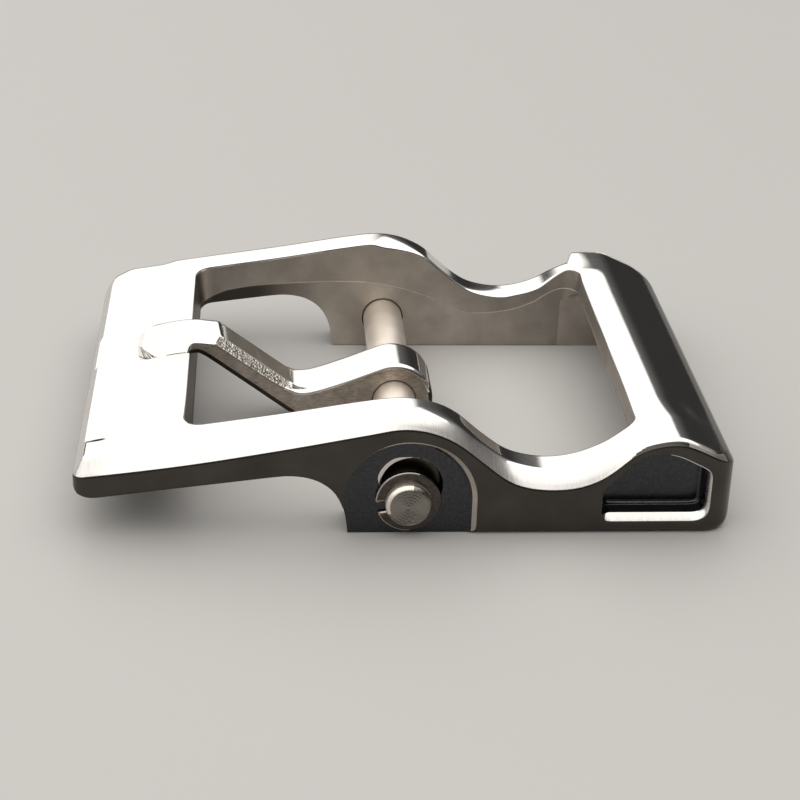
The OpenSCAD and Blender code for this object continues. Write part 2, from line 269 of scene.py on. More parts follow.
# Finish of each face, by its band from the inner wall over the top and the bevel to the side
POLISH, BEVEL, WALL, SIDE = range(4)
n_wall, n_top = len(wall), len(wall) + len(lip) + len(across) + len(shoulder) - 1
n_bevel = n_top + len(slope) + 2
band = np.arange(len(rows))[:, None]
row_finish = np.select([band < n_wall, band < n_top, band < n_bevel], [WALL, POLISH, BEVEL], SIDE)
finish = np.tile(row_finish, (1, len(outer)))
is_bevel = row_finish == BEVEL
# On the near rail's rear bevel and on the rear end the darkened side steel is a painted dark reflection;
# between x 26.8 and 31 the bevels take the inner wall's warm grey, a painted warm reflection
finish[is_bevel & (outer[:, 0] > 23.6 - 0.45 * (band - n_top)) & (outer[:, 1] < 0)] = SIDE
finish[is_bevel & (outer[:, 0] > 26.8) & (outer[:, 0] <= 31.0)] = WALL
finish[(band >= n_top - 5) & (outer[:, 0] > 31.0)] = SIDE

# Painted shade on the inner wall, kept as the face attribute shade: darkest below the crease at the front
# and on the front bar, a little darker towards the rear, and darker along the crease
below_crease = (band < 4) * (1 - ease(inner_x, -15.0, -6.0))
shade = np.maximum(below_crease, 0.9 * on_front)
shade = np.maximum(shade, 0.35 * ease(inner_x, 4.0, 18.0))
shade = np.maximum(shade, 0.5 * (band == 3)) * (band <= n_wall)


def colour(code):
    """Linear colour of an sRGB hex value."""
    s = np.array([int(code[k:k + 2], 16) for k in (1, 3, 5)]) / 255
    return (*np.where(s <= 0.04045, s / 12.92, ((s + 0.055) / 1.055) ** 2.4).tolist(), 1.0)


def add(tree, kind, links=None, **settings):
    """Adds a shader node. A setting names one of its properties or inputs, or gives a ramp's stops. A
    link names an input and its source, where a node stands for its first output."""
    made = tree.nodes.new("ShaderNode" + kind)
    for name, value in settings.items():
        if name == "stops":
            for element, (position, code) in zip(made.color_ramp.elements, value):
                element.position, element.color = position, colour(code)
        elif hasattr(made, name):
            setattr(made, name, value)
        else:
            made.inputs[name.replace("_", " ")].default_value = value
    for name, source in (links or {}).items():
        tree.links.new(getattr(source, "outputs", [source])[0], made.inputs[name])
    return made


def start_material(name):
    """Empty node material, with its tree and its Object coordinates."""
    material = bpy.data.materials.new(name)
    material.use_nodes = True
    tree = material.node_tree
    tree.nodes.clear()
    return material, tree, add(tree, "TexCoord").outputs["Object"]


# Polished stainless steel: a mirror that a cloth wheel has left very slightly wavy, with hair scratches
# along the strap. It takes its light and dark from the room.
mirror_steel, tree, place = start_material("polished_stainless_steel")
wave = add(tree, "TexNoise", {"Vector": place}, Scale=1 / (4.0 * MM), Detail=1.0)
stretch = add(tree, "Mapping", {"Vector": place}, Scale=(0.06, 1.0, 1.0))
hair = add(tree, "TexNoise", {"Vector": stretch}, Scale=1 / (0.12 * MM), Detail=3.0)
shine = add(tree, "MapRange", {"Value": hair},
            From_Min=0.35, From_Max=0.75, To_Min=0.05, To_Max=0.12)
swell = add(tree, "Bump", {"Height": wave}, Strength=0.35, Distance=0.012 * MM)
fine = add(tree, "Bump", {"Height": hair, "Normal": swell},
           Strength=0.25, Distance=0.0006 * MM)
steel = add(tree, "BsdfPrincipled", {"Roughness": shine, "Normal": fine},
            Base_Color=colour("#e6e4e1"), Metallic=1.0)
add(tree, "OutputMaterial", {0: steel})

# Polished bevel: the same steel off a belt, with fine lines across the bevel that soften what it
# mirrors.
bevel_steel, tree, place = start_material("belt_polished_bevel")
stretch = add(tree, "Mapping", {"Vector": place}, Scale=(1.0, 0.12, 0.12))
grain = add(tree, "TexNoise", {"Vector": stretch},
            Scale=1 / (0.16 * MM), Detail=4.0, Roughness=0.6)
shine = add(tree, "MapRange", {"Value": grain},
            From_Min=0.3, From_Max=0.7, To_Min=0.19, To_Max=0.30)
lines = add(tree, "Bump", {"Height": grain}, Strength=0.5, Distance=0.004 * MM)
steel = add(tree, "BsdfPrincipled", {"Roughness": shine, "Normal": lines},
            Base_Color=colour("#dcd9d5"), Metallic=1.0)
add(tree, "OutputMaterial", {0: steel})

# Tumbled inner wall: warm grey, as it came from the tumbler, with a soft grain and faint cloudy stains,
# and painted shade that mixes it towards a dark grey where the face attribute shade is high.
painted_shade_wall_steel, tree, place = start_material("tumbled_inner_wall_painted_shade")
cloud = add(tree, "TexNoise", {"Vector": place}, Scale=1 / (3.5 * MM), Detail=4.0, Roughness=0.6)
grain = add(tree, "TexNoise", {"Vector": place}, Scale=1 / (0.22 * MM), Detail=3.0)
stain = add(tree, "ValToRGB", {"Fac": cloud}, stops=[(0.3, "#afa79f"), (0.7, "#c8c0b6")])
# Painted shade: the face attribute shade mixes the wall's colour towards this dark grey
painted_shade_input = add(tree, "Attribute", attribute_name="shade")
tint = add(tree, "Mix", {0: painted_shade_input.outputs["Fac"], 6: stain}, data_type="RGBA")
tint.inputs[7].default_value = colour("#534e49")
rough = add(tree, "Bump", {"Height": grain}, Strength=0.5, Distance=0.012 * MM)
steel = add(tree, "BsdfPrincipled", {"Base Color": tint.outputs[2], "Normal": rough},
            Metallic=1.0, Roughness=0.45)
add(tree, "OutputMaterial", {0: steel})

# Ground side face: finely ground, with a few pits and a soft mottle, and painted darker than the polished
# steel, a painted dark reflection of the surroundings.
painted_dark_side_steel, tree, place = start_material("ground_side_face_painted_dark")
cloud = add(tree, "TexNoise", {"Vector": place}, Scale=1 / (5.0 * MM), Detail=3.0)
pits = add(tree, "TexVoronoi", {"Vector": place}, Scale=1 / (0.9 * MM))
grain = add(tree, "TexNoise", {"Vector": place}, Scale=1 / (0.14 * MM), Detail=3.0)
# Painted dark reflection: the side faces' steel is given this dark grey
tint = add(tree, "ValToRGB", {"Fac": cloud}, stops=[(0.3, "#45423f"), (0.7, "#504d49")])
pit = add(tree, "MapRange", {"Value": pits.outputs["Distance"]}, From_Min=0.0, From_Max=0.12)
height = add(tree, "Math", {0: pit, 1: grain}, operation="ADD")
rough = add(tree, "Bump", {"Height": height}, Strength=0.3, Distance=0.008 * MM)
steel = add(tree, "BsdfPrincipled", {"Base Color": tint, "Normal": rough},
            Metallic=1.0, Roughness=0.28)
add(tree, "OutputMaterial", {0: steel})

# Milled recess: the floor that a cutter left round the axle, cooler and a little smoother than the side,
# and painted dark like it, a painted dark reflection.
painted_dark_recess_steel, tree, place = start_material("milled_recess_painted_dark")
ripple = add(tree, "TexNoise", {"Vector": place}, Scale=1 / (0.3 * MM), Detail=2.0)
# Painted dark reflection: a dark grey for the recess floor and the pocket
tint = add(tree, "ValToRGB", {"Fac": ripple}, stops=[(0.3, "#3e3e41"), (0.7, "#4a4a4d")])
rough = add(tree, "Bump", {"Height": ripple}, Strength=0.3, Distance=0.006 * MM)
steel = add(tree, "BsdfPrincipled", {"Base Color": tint, "Normal": rough},
            Metallic=1.0, Roughness=0.24)
add(tree, "OutputMaterial", {0: steel})


def new_piece(name, verts, faces, materials, finish=None):
    """Mesh object at the origin from points in millimetres; finish numbers the material of each face."""
    mesh = bpy.data.meshes.new(name)
    mesh.from_pydata((np.asarray(verts) * MM).tolist(), [], [list(f) for f in faces])
    for material in materials:
        mesh.materials.append(material)
    if finish is not None:
        mesh.polygons.foreach_set("material_index", np.asarray(finish, np.int32))
    mesh.update()
    piece = bpy.data.objects.new(name, mesh)
    bpy.context.scene.collection.objects.link(piece)
    return piece


def plug(name, rows, material, finish=None):
    """Solid through a stack of closed outlines of equal length, with a flat cap at each end: what a
    cutter removes. Finish numbers the material of each band."""
    m, n = len(rows), len(rows[0])
    quads = quads_between(m, n)
    caps = [list(range(n - 1, -1, -1)), list(range((m - 1) * n, m * n))]
    materials = material if isinstance(material, list) else [material]
    if finish is not None:
        finish = np.concatenate([np.repeat(finish, n), [finish[0], finish[-1]]])
    piece = new_piece(name, np.concatenate(rows), quads.tolist() + caps, materials, finish)
    turn_outwards(piece)
    return piece


def both_ways(near):
    """Rows of the near side, then their mirror images on the far side in reverse order."""
    return near + [row * (1, -1, 1) for row in near[::-1]]


def turn_outwards(piece):
    """Makes every face of a closed mesh point outwards."""
    shape = bmesh.new()
    shape.from_mesh(piece.data)
    bmesh.ops.recalc_face_normals(shape, faces=shape.faces)
    if shape.calc_volume(signed=True) < 0:
        bmesh.ops.reverse_faces(shape, faces=shape.faces)
    shape.to_mesh(piece.data)
    shape.free()


def side_outline(outline, y):
    """Row of points at one y from an outline of x and height."""
    return np.column_stack([outline[:, 0], np.broadcast_to(y, len(outline)), outline[:, 1]])


def outward(outline):
    """Outward normals of a closed outline, each the mean of its two edges' normals."""
    along = np.roll(outline, -1, 0) - np.roll(outline, 1, 0)
    normal = np.column_stack([along[:, 1], -along[:, 0]])
    normal /= np.maximum(np.linalg.norm(normal, axis=1), 1e-9)[:, None]
    x, z = outline.T
    area = np.sum(x * np.roll(z, -1) - np.roll(x, -1) * z)
    return normal * np.sign(area)


def rounded_outline(corners, step=0.35):
    """Closed outline from corners (x, height, cut): each corner becomes the quadratic curve that leaves
    its two sides at the distance cut, and each side is divided into pieces no longer than step."""
    points = np.array([c[:2] for c in corners], float)
    cuts = np.array([c[2] for c in corners], float)
    ahead, behind = np.roll(points, -1, 0) - points, np.roll(points, 1, 0) - points
    ahead /= np.linalg.norm(ahead, axis=1)[:, None]
    behind /= np.linalg.norm(behind, axis=1)[:, None]
    first, last = points + behind * cuts[:, None], points + ahead * cuts[:, None]
    pieces = []
    for k in range(len(points)):
        if cuts[k] > 0:
            pieces.append(np.array(bend(first[k], points[k], last[k], 8)))
        else:
            pieces.append(points[k:k + 1])
        gap = np.roll(first, -1, 0)[k] - last[k]
        n = int(np.linalg.norm(gap) / step)
        if n > 0:
            pieces.append(last[k] + gap * (np.arange(1, n + 1) / (n + 1))[:, None])
    joined = np.concatenate(pieces)
    apart = np.linalg.norm(joined - np.roll(joined, 1, 0), axis=1) > 1e-4
    return joined[apart]


def cut_away(piece, cutters):
    """Subtracts solids from a piece one after the other and keeps the result as its mesh."""
    for cutter in cutters:
        step = piece.modifiers.new(cutter.name, "BOOLEAN")
        step.operation, step.object, step.solver = "DIFFERENCE", cutter, "EXACT"
        step.material_mode = "TRANSFER"
    seen = bpy.context.evaluated_depsgraph_get()
    mesh = bpy.data.meshes.new_from_object(piece.evaluated_get(seen), depsgraph=seen)
    piece.modifiers.clear()
    old, piece.data = piece.data, mesh
    bpy.data.meshes.remove(old)
    for cutter in cutters:
        bpy.data.objects.remove(cutter)


def finish_shading(piece, angle):
    """Smooth shading with hard edges past an angle, weighted so that flat faces stay flat."""
    mesh = piece.data
    mesh.polygons.foreach_set("use_smooth", np.ones(len(mesh.polygons), bool))
    mesh.set_sharp_from_angle(angle=math.radians(angle))
    weigh = piece.modifiers.new("flat_faces", "WEIGHTED_NORMAL")
    weigh.keep_sharp, weigh.weight = True, 60


frame_body = new_piece("frame_body", verts, quads.tolist(),
                       [mirror_steel, bevel_steel, painted_shade_wall_steel, painted_dark_side_steel], finish.ravel())
# The inner wall's painted shade goes with each face as the attribute shade
frame_body.data.attributes.new("shade", "FLOAT", "FACE").data.foreach_set("value", shade.ravel())
turn_outwards(frame_body)

OUTSIDE = SIDE_FACE + 1


def soft_ended(outline, push, radius):
    """Rows of a cutter that goes right through the frame. Its outline grows along push in a quarter
    round of the given radius at both side faces."""
    rows = [side_outline(outline + push * radius[:, None], -OUTSIDE)]
    for d in np.linspace(0, 1, 5):
        grown = push * radius[:, None] * (1 - np.sqrt(1 - (1 - d) ** 2))
        rows.append(side_outline(outline + grown, -SIDE_FACE + d * radius))
    return both_ways(rows)


# Hollow under the front half, with a lightly broken edge along both sides
line_x = np.concatenate([np.linspace(-34, -14, 70), np.linspace(-13.8, -5.6, 90)])
line = np.column_stack([line_x, smooth(HOLLOW, line_x, 1)])
closing = np.array([(-5.6, -2.0), (-20.0, -2.0), (-34.0, -2.0)])
outline = np.concatenate([line, closing])
push = outward(outline)
push[len(line):] = 0
break_r = 0.15 + 0.35 * ease(-outline[:, 0], 14, 29)
hollow_cut = plug("hollow_cut", soft_ended(outline, push, break_r), painted_dark_side_steel)

# Slot under the keeper bar, whose roof comes down to the rails in a fillet
SLOT_HALF, SLOT_FILLET = INNER_WALL + 0.02, 1.5
slot = rounded_outline([
    (20.85, 7.2, 0), (22.75, 7.2, 0.1), (23.1, 6.9, 0.2), (25.2, 7.3, 1.0), (27.4, 6.9, 1.0),
    (32.3, 4.6, 0), (34.0, 3.6, 0), (34.0, -1.5, 0), (20.85, -1.5, 0)])
rise = np.clip((slot[:, 1] + 1.5) / 4.5, 0, 1)
fillet = [(SLOT_HALF - SLOT_FILLET * (1 - math.sin(a)), SLOT_FILLET * (1 - math.cos(a)))
          for a in np.linspace(0, math.pi / 2, 9)]
near = [side_outline(slot - np.column_stack([0 * rise, rise * drop]), -y) for y, drop in fillet[::-1]]
slot_cut = plug("slot_cut", both_ways(near), painted_shade_wall_steel)

# Sunk top of the front bar: a shallow step, deepest at the front, whose near wall runs out soon behind
# the front edge and whose far side comes up softly
STEP_HALF = 20.0
bar_x = np.linspace(-33, -21.3, 24)
depth = 0.26 - 0.12 * ease(bar_x, -32, -21.4)
near_share = 1 - 0.88 * ease(bar_x, -31.9, -28.6)
# Columns: y, share of the step's depth there
step_table = [(-STEP_HALF - 0.9, -0.15 * near_share), (-STEP_HALF - 0.6, 0.02 * near_share),
              (-STEP_HALF - 0.45, 0.15 * near_share), (-STEP_HALF - 0.1, 0.85 * near_share),
              (-STEP_HALF + 0.1, near_share), (-STEP_HALF + 7.0, 1.0), (STEP_HALF - 1.8, 1.0),
              (STEP_HALF - 1.3, 0.9), (STEP_HALF - 0.7, 0.6), (STEP_HALF, 0.25), (STEP_HALF + 0.6, 0.05),
              (STEP_HALF + 0.9, -0.1)]
step_rows = []
for y, share in step_table:
    low_edge = np.column_stack([bar_x, top_face(bar_x) - depth * share])
    step_rows.append(side_outline(np.concatenate([low_edge, [(-21.3, 13), (-33, 13)]]), y))
step_cut = plug("step_cut", step_rows, mirror_steel)

# Groove along the front bar for the tip of the prong
PRONG_Y, GROOVE_HALF = 0.7, 3.55


def groove_floor(x):
    """Height of the groove's flat floor, the straight line that the prong's tip rests along."""
    return 7.26 + 0.1604 * (x + END_X)


# Columns: distance beyond the groove's half width, height above its floor
near_wall = [(0.35, 2.5), (0.12, 0.50), (0.05, 0.40), (0.0, 0.28), (-0.04, 0.1), (-0.12, 0.03),
             (-0.22, 0.0)]
far_wall = [(-0.22, 0.0), (-0.08, 0.02), (-0.02, 0.07), (0.01, 0.14), (0.06, 0.2), (0.30, 0.42),
            (0.55, 0.6), (1.0, 2.5)]
groove_rows = []
for sign, wall_points in ((-1, near_wall), (1, far_wall)):
    for out_by, up in wall_points:
        base = np.column_stack([bar_x, groove_floor(bar_x) + up])
        groove_rows.append(side_outline(np.concatenate([base, [(-21.3, 13.2), (-33, 13.2)]]),
                                        PRONG_Y + sign * (GROOVE_HALF + out_by)))
groove_cut = plug("groove_cut", groove_rows, mirror_steel)

# Recess round each end of the axle: one end mill's arc, open downwards, with a wider slanted wall on
# its rear side
RECESS_R, RECESS_Y = 6.3, SIDE_FACE - 0.45
angle = np.linspace(0, 180, 91)
lean = ease(np.cos(np.radians(angle)), 0.1, 0.95)
crown = ease(np.cos(np.radians(angle)), -0.9, 0.0)


def recess_row(y, wide, narrow):
    """Outline of the recess at one depth: the arc's radius grows by wide at the rear side, by narrow at
    the top and by a fifth of that at the front side."""
    r = RECESS_R + narrow * (0.2 + 0.8 * crown) + (wide - narrow) * lean
    arc = np.column_stack([r * np.cos(np.radians(angle)), AXLE_Z + r * np.sin(np.radians(angle))])
    foot_line = [(-r[-1], 1.5), (-r[-1], -1.5), (r[0], -1.5), (r[0], 1.5)]
    return side_outline(np.concatenate([arc, foot_line]), y)


recess_rows = [recess_row(-OUTSIDE, 0.50, 0.25), recess_row(-SIDE_FACE, 0.40, 0.17),
               recess_row(-SIDE_FACE + 0.07, 0.30, 0.02), recess_row(-SIDE_FACE + 0.24, -0.06, 0.0),
               recess_row(-RECESS_Y - 0.07, -0.36, -0.04), recess_row(-RECESS_Y, -0.52, -0.10)]
recess_cut = plug("recess_cut", recess_rows, [painted_shade_wall_steel, painted_dark_recess_steel], [0, 0, 0, 1, 1])

# Deeper relief above the clip: a counterbore whose centre lies above the axle and a little behind it,
# with a hand-cut rim that is widest at the upper front
RELIEF_R, RELIEF_X, RELIEF_UP = 3.0, 0.3, 1.5
RELIEF_FLOOR = -RECESS_Y + 1.2
disc_angle = np.linspace(0, 2 * np.pi, 96, endpoint=False)


def disc_row(r, y, x, z):
    """Circle of radius r, one number or one for each of its points, about an axis along y at x and z."""
    return np.column_stack([x + r * np.cos(disc_angle), np.full(len(disc_angle), y),
                            z + r * np.sin(disc_angle)])


around = np.degrees(disc_angle)
rim_wide = (0.05 + 0.13 * ease(around, 40, 75) * (1 - ease(around, 150, 185))
            + 0.30 * ease(around, 95, 125) * (1 - ease(around, 160, 185)))
# Columns: share of the rim's width that the radius gains, what else it gains, y
relief_table = [(1.15, 0.4, -OUTSIDE), (1.1, 0.0, -RECESS_Y - 0.02), (1.0, 0.0, -RECESS_Y),
                (0.12, 0.0, -RECESS_Y + 0.10), (0.0, 0.0, -RECESS_Y + 0.3),
                (0.0, 0.0, RELIEF_FLOOR - 0.3), (0.0, -0.1, RELIEF_FLOOR - 0.08),
                (0.0, -0.3, RELIEF_FLOOR)]
relief_rows = [disc_row(RELIEF_R + share * rim_wide + gain, y, RELIEF_X, AXLE_Z + RELIEF_UP)
               for share, gain, y in relief_table]
relief_cut = plug("relief_cut", relief_rows, [bevel_steel, painted_dark_side_steel], [0, 0, 0, 1, 1, 1, 1])

# Bore through both lugs, a running fit round the axle, broken at the inner walls
BORE_R = AXLE_R + 0.03
bore_cut = plug("bore_cut", [disc_row(BORE_R + out_by, y, 0, AXLE_Z) for y, out_by in [
    (-OUTSIDE, 0), (-INNER_WALL - 0.12, 0), (-INNER_WALL, 0.12), (-INNER_WALL + 0.5, 0.12),
    (INNER_WALL - 0.5, 0.12), (INNER_WALL, 0.12), (INNER_WALL + 0.12, 0), (OUTSIDE, 0)]], painted_dark_side_steel)

# Blind pocket near each rear corner: milled walls that slant in at the lower and rear sides, and a
# filleted floor
POCKET_DEEP, POCKET_FILLET = 2.4, 0.4
pocket = rounded_outline([(18.9, 1.45, 1.0), (18.9, 4.75, 0.5), (22.4, 8.55, 0.9), (24.3, 8.85, 0.9),
                          (26.3, 8.35, 0.9), (29.45, 6.75, 0.9), (29.5, 1.45, 1.8)], 0.3)
push = outward(pocket)
slant = 0.55 * np.clip(push[:, 0], 0, 1) ** 2 + np.clip(-push[:, 1], 0, 1) ** 2
# Columns: distance out of the side face, how far the outline grows there, how far its walls slant in
depths = [(1.0, 0.14, 0.0), (0.0, 0.14, 0.0), (-0.05, 0.05, 0.0), (-0.62, 0.0, 0.60),
          (-0.80, -0.01, 0.64), (-POCKET_DEEP + POCKET_FILLET, -0.03, 0.64)]
depths += [(-POCKET_DEEP + POCKET_FILLET * (1 - math.sin(t)),
            -0.03 - POCKET_FILLET * (1 - math.cos(t)), 0.64) for t in np.linspace(0.3, math.pi / 2, 5)]
rimmed = ease(push[:, 0] - 0.3 * push[:, 1], -0.35, 0.05)
pocket_rows = []
for out, grow, lean_in in depths:
    grown = min(grow, 0) + max(grow, 0) * rimmed - slant * lean_in
    pocket_rows.append(side_outline(pocket + push * grown[:, None], -SIDE_FACE - out))
pocket_cut = plug("pocket_cut", pocket_rows, [mirror_steel, bevel_steel, painted_dark_recess_steel],
                  [0, 0, 1, 2, 2, 1, 2, 2, 2, 2])

# Rounded lower rear corner, with a soft edge along each side
HEEL_R, HEEL_EDGE = 2.6, 0.55
heel = rounded_outline([
    (29.3, -0.02, 0), (END_X + 0.02, -0.02, HEEL_R), (END_X + 0.02, 3.1, 0), (35.0, 3.1, 0),
    (35.0, -2.0, 0), (29.3, -2.0, 0)], 1.0)
inner_side = (heel[:, 0] < END_X + 0.1) & (heel[:, 1] > -0.1)
push = outward(heel) * inner_side[:, None]
heel_cut = plug("heel_cut", soft_ended(heel, push, np.full(len(heel), HEEL_EDGE)), painted_dark_side_steel)


def mirrored_copy(piece, name):
    """The same cutter on the other side of the frame."""
    mesh = piece.data.copy()
    mesh.transform(Matrix.Scale(-1, 4, (0, 1, 0)))
    twin = bpy.data.objects.new(name, mesh)
    bpy.context.scene.collection.objects.link(twin)
    turn_outwards(twin)
    return twin


near_cuts = [recess_cut, relief_cut, pocket_cut]
far_cuts = [mirrored_copy(c, c.name + "_far") for c in near_cuts]
cut_away(frame_body, [hollow_cut, slot_cut, heel_cut, step_cut, groove_cut]
         + near_cuts + far_cuts + [bore_cut])
finish_shading(frame_body, 32)
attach(frame_body, "frame_assembly")
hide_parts("frame")

# The axle: a plain rod turned from stainless bar, faced and bevelled at the near end with the tool's
# rings left in its face, grooved there for the clip, and with a low head at the far end.
AXLE_END, HEAD_R, CLIP_T = 25.6, 3.3, 0.4
GROOVE_Y = -RECESS_Y - 0.06 - CLIP_T
RING_APART, RING_HIGH, DIMPLE_R, DIMPLE_HIGH = 0.30, 0.028, 0.10, 0.03
face_r = np.linspace(0.0, AXLE_R - 0.42, 46)
face_y = (-AXLE_END + 0.03 + RING_HIGH * np.cos(face_r * 2 * np.pi / RING_APART)
          - DIMPLE_HIGH * np.exp(-(face_r / DIMPLE_R) ** 2))
# Columns: radius, y
profile = np.array(list(zip(face_r, face_y)) + [
    (AXLE_R - 0.34, -AXLE_END), (AXLE_R - 0.28, -AXLE_END + 0.03), (AXLE_R - 0.06, -AXLE_END + 0.25),
    (AXLE_R - 0.015, -AXLE_END + 0.33), (AXLE_R, -AXLE_END + 0.42), (AXLE_R, GROOVE_Y - 0.12),
    (AXLE_R - 0.04, GROOVE_Y), (AXLE_R - 0.45, GROOVE_Y + 0.01), (AXLE_R - 0.45, GROOVE_Y + 0.47),
    (AXLE_R - 0.03, GROOVE_Y + 0.48), (AXLE_R, GROOVE_Y + 0.52)]
    + [(AXLE_R, y) for y in np.linspace(-23, 23.5, 60)] + [
    (AXLE_R, RECESS_Y + 0.04), (HEAD_R - 0.1, RECESS_Y + 0.05), (HEAD_R, RECESS_Y + 0.15),
    (HEAD_R, AXLE_END - 0.5), (HEAD_R - 0.1, AXLE_END - 0.3), (HEAD_R - 0.5, AXLE_END - 0.03),
    (HEAD_R - 0.7, AXLE_END), (0.0, AXLE_END)])


def turned(profile, n):
    """Closed surface of a lathe profile (radius, y) swept round the axle's line, a pole at each end."""
    a = np.linspace(0, 2 * np.pi, n, endpoint=False)
    ring = profile[1:-1]
    x = ring[:, :1] * np.cos(a)
    z = AXLE_Z + ring[:, :1] * np.sin(a)
    y = np.repeat(ring[:, 1:], n, 1)
    body = np.stack([x, y, z], -1).reshape(-1, 3)
    poles = [(0, profile[0, 1], AXLE_Z), (0, profile[-1, 1], AXLE_Z)]
    quads = quads_between(len(ring), n)
    k = np.arange(n)
    start, end = len(body), len(body) + 1
    last = (len(ring) - 1) * n
    fans = [np.column_stack([np.full(n, start), (k + 1) % n, k]),
            np.column_stack([np.full(n, end), last + k, last + (k + 1) % n])]
    return np.concatenate([body, poles]), quads.tolist() + fans[0].tolist() + fans[1].tolist()


# Turned stainless steel: warm, with the fine rings of the lathe tool round it, and painted near white,
# partly a painted highlight that stands in for light from overhead.
turned_steel, tree, place = start_material("turned_stainless_steel")
feed = add(tree, "Mapping", {"Vector": place}, Scale=(0.02, 1.0, 0.02))
rings = add(tree, "TexNoise", {"Vector": feed}, Scale=1 / (0.14 * MM), Detail=3.0)
cloud = add(tree, "TexNoise", {"Vector": place}, Scale=1 / (2.5 * MM), Detail=3.0)
# Partly painted light: a near white colour, brighter than bare steel
tint = add(tree, "ValToRGB", {"Fac": cloud}, stops=[(0.3, "#f0e5d8"), (0.7, "#fbf3ea")])
lines = add(tree, "Bump", {"Height": rings}, Strength=0.4, Distance=0.003 * MM)
steel = add(tree, "BsdfPrincipled", {"Base Color": tint, "Normal": lines},
            Metallic=1.0, Roughness=0.46)
add(tree, "OutputMaterial", {0: steel})

# The faced end and most of its bevel: the same steel, painted darker as a painted dark reflection, and
# torn where the tool rubbed, so that its rings sparkle.
painted_dark_faced_steel, tree, place = start_material("faced_end_painted_dark")
torn = add(tree, "TexNoise", {"Vector": place}, Scale=1 / (0.22 * MM), Detail=4.0, Roughness=0.7)
rough = add(tree, "Bump", {"Height": torn}, Strength=0.8, Distance=0.05 * MM)
steel = add(tree, "BsdfPrincipled", {"Normal": rough},
            Base_Color=colour("#8b867f"), Metallic=1.0, Roughness=0.16)
add(tree, "OutputMaterial", {0: steel})

# Faces come ring by ring from the near end, then the fan at its centre and the one at the far end
AROUND = 128
points, faces = turned(profile, AROUND)
ring_no, degrees = np.arange(len(faces)) // AROUND, np.arange(len(faces)) % AROUND * 360 / AROUND
on_bevel = (ring_no >= len(face_r) - 2) & (ring_no < len(face_r) + 3)
painted_dark_face = (ring_no < len(face_r) - 2) | (ring_no == len(profile) - 3)
# The bevel's upper left keeps the bright turned steel, so that it shows as a painted highlight crescent
painted_dark_face |= on_bevel & ((degrees < 76) | (degrees > 200))
axle_rod = new_piece("axle_rod", points, faces, [turned_steel, painted_dark_faced_steel], painted_dark_face)
turn_outwards(axle_rod)
finish_shading(axle_rod, 40)
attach(axle_rod, "frame_assembly")
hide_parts("axle")

# The retaining clip: a flat open ring stamped from spring steel and snapped into the groove of the axle,
# with its mouth towards the front and a little downwards.
CLIP_R, CLIP_IN, CLIP_MOUTH, CLIP_TURN = 3.2, 1.85, 1.1, 12
CLIP_Y = -RECESS_Y - 0.05 - CLIP_T
CLIP_EDGE = 0.07
# Columns: radius, depth behind the clip's near face, whose outer edge is the softest
section = np.array([
    (CLIP_IN, 0.06), (CLIP_IN + 0.06, 0.0), (CLIP_R - CLIP_EDGE * 2, 0.0), (CLIP_R - CLIP_EDGE, 0.02),
    (CLIP_R - 0.02, CLIP_EDGE), (CLIP_R, CLIP_EDGE * 2), (CLIP_R, CLIP_T - 0.06), (CLIP_R - 0.06, CLIP_T),
    (CLIP_IN + 0.06, CLIP_T), (CLIP_IN, CLIP_T - 0.06)])
mouth_at = np.radians(180 + CLIP_TURN)
half_mouth = np.arcsin(CLIP_MOUTH / 2 / section[:, 0])
sweep = np.linspace(0, 1, 241)[:, None]
around = mouth_at + half_mouth + sweep * (2 * np.pi - 2 * half_mouth)
at_tip = 1 - ease(np.minimum(sweep, 1 - sweep), -0.004, 0.012)
middle = np.array([(CLIP_IN + CLIP_R) / 2, CLIP_T / 2])
wide = middle[0] + (section[:, 0] - middle[0]) * (1 - 0.16 * at_tip)
deep = middle[1] + (section[:, 1] - middle[1]) * (1 - 0.5 * at_tip)
ring = np.stack([wide * np.cos(around), CLIP_Y + deep, AXLE_Z + wide * np.sin(around)], -1)

# Spring steel: dark from its heat treatment, faintly brown, smooth and lightly scuffed.
spring_steel, tree, place = start_material("tempered_spring_steel")
scuff = add(tree, "TexNoise", {"Vector": place}, Scale=1 / (0.5 * MM), Detail=4.0, Roughness=0.7)
tint = add(tree, "ValToRGB", {"Fac": scuff}, stops=[(0.35, "#443f3c"), (0.7, "#5d5550")])
rough = add(tree, "Bump", {"Height": scuff}, Strength=0.3, Distance=0.01 * MM)
steel = add(tree, "BsdfPrincipled", {"Base Color": tint, "Normal": rough},
            Metallic=1.0, Roughness=0.2)
add(tree, "OutputMaterial", {0: steel})

# The clip's edges and tips: the same steel, lighter; along the outer edge of its front part this is a
# painted highlight.
painted_highlight_steel, tree, place = start_material("spring_steel_painted_highlight")
scuff = add(tree, "TexNoise", {"Vector": place}, Scale=1 / (0.3 * MM), Detail=3.0)
shine = add(tree, "MapRange", {"Value": scuff},
            From_Min=0.3, From_Max=0.7, To_Min=0.18, To_Max=0.34)
steel = add(tree, "BsdfPrincipled", {"Roughness": shine},
            Base_Color=colour("#b5ada6"), Metallic=1.0)
add(tree, "OutputMaterial", {0: steel})

clip_ring = plug("clip_ring", list(ring), [spring_steel, painted_highlight_steel])
# Painted highlight: the outer edge's rounding on the front part of the ring takes the lighter steel, and
# so do the tips
on_edge = np.isin(np.arange(len(section)), (2, 3, 4))
front_part = (np.degrees(around[1:]) % 360 > 72) & (np.degrees(around[1:]) % 360 < 275)
painted_highlight_and_tips = (on_edge & front_part) | (at_tip[1:] > 0.05) | (at_tip[:-1] > 0.05)
painted_highlight_and_tips = np.append(painted_highlight_and_tips.ravel(), (True, True)).astype(np.int32)
clip_ring.data.polygons.foreach_set("material_index", painted_highlight_and_tips)
finish_shading(clip_ring, 40)
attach(clip_ring, "frame_assembly")
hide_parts("retaining_clip")

